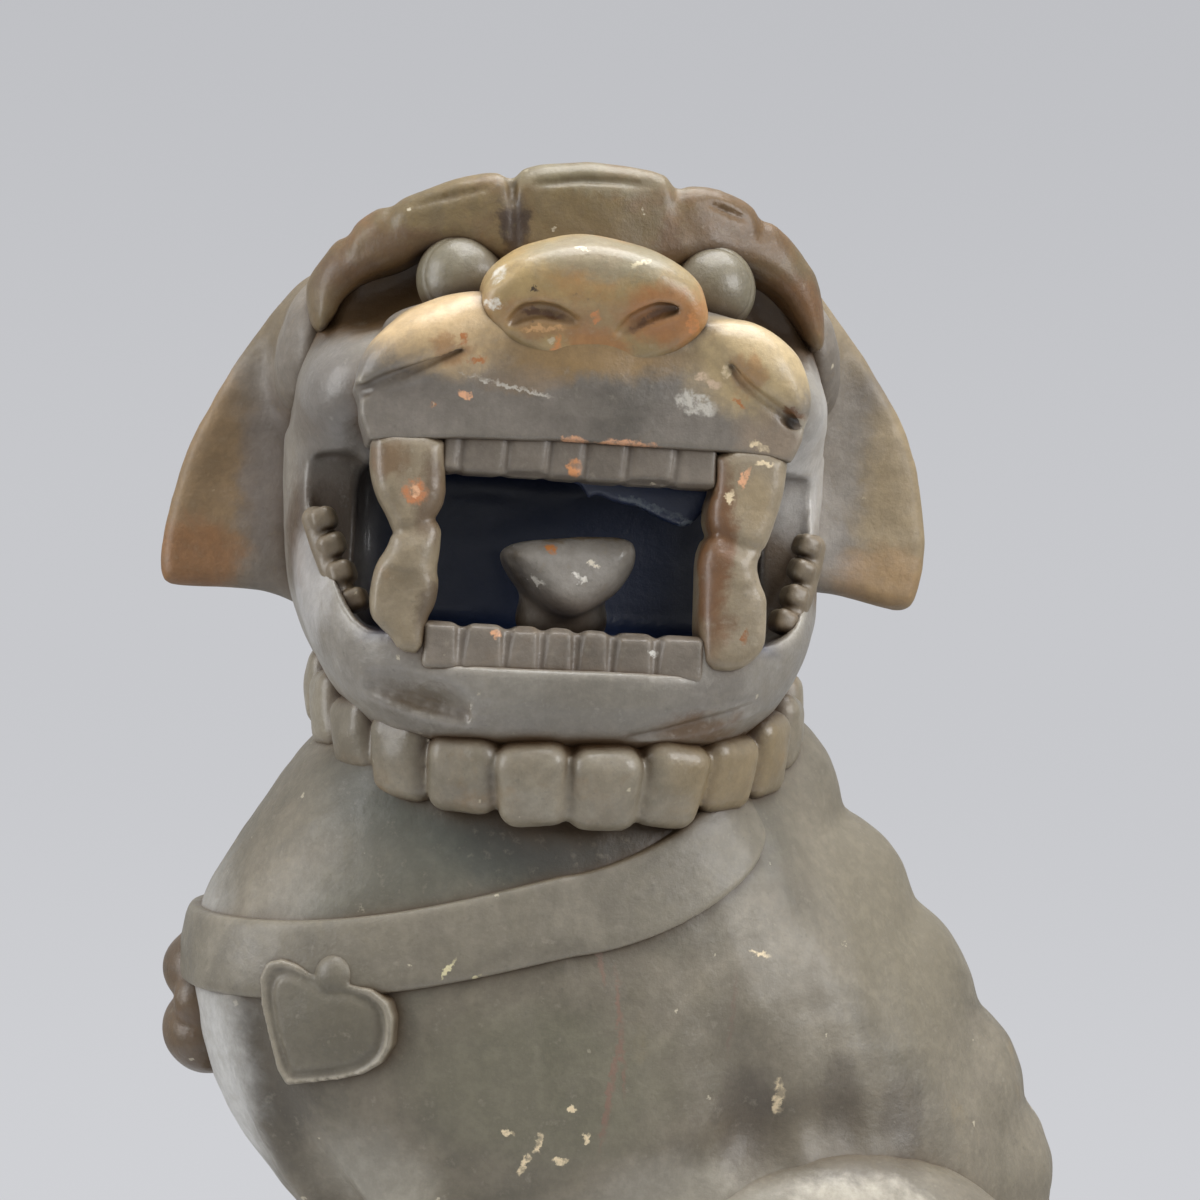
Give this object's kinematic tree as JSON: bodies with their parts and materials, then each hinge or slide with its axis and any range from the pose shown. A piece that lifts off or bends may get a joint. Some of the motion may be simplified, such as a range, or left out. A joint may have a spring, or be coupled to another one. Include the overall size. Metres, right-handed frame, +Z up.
{
  "type": "guardian lion statue",
  "caption": "Carved jade guardian lion seated on a rectangular plinth, head turned to its side with an open mouth, beaded collar and harness strap.",
  "frame": {"origin": "centre of the plinth's underside", "axes": "+Z up; the lion's body faces -X and its head is turned to face -Y, so -Y is both the face and the left flank"},
  "size_m": [0.128, 0.0804, 0.1961],
  "materials": {
    "jade": "gloss",
    "pale_jade": "gloss",
    "stained_jade": "gloss"
  },
  "bodies": {
    "root": {"plinth": "jade", "torso": "jade", "haunch_left": "jade", "haunch_right": "jade", "hind_paw_left": "jade", "hind_paw_right": "jade", "front_leg_left": "jade", "front_leg_right": "jade", "front_paw_left": "jade", "front_paw_right": "jade", "brocade_ball": "jade", "tail": "stained_jade", "spine_ridge": "jade", "harness_strap": "jade", "chest_bell": "stained_jade", "heart_plaque_left": "jade", "heart_plaque_right": "jade", "collar_beads": "stained_jade", "skull": "jade", "lower_jaw": "pale_jade", "muzzle": "jade", "nose": "stained_jade", "lip_pad_left": "stained_jade", "lip_pad_right": "stained_jade", "eye_left": "pale_jade", "eye_right": "pale_jade", "brow_fringe": "stained_jade", "ear_left": "stained_jade", "ear_right": "stained_jade", "fang_pillar_left": "stained_jade", "fang_pillar_right": "stained_jade", "upper_teeth": "pale_jade", "lower_teeth": "pale_jade", "molars_left": "pale_jade", "molars_right": "pale_jade", "tongue": "pale_jade", "mane_curls": "jade"}
  },
  "joints": []
}
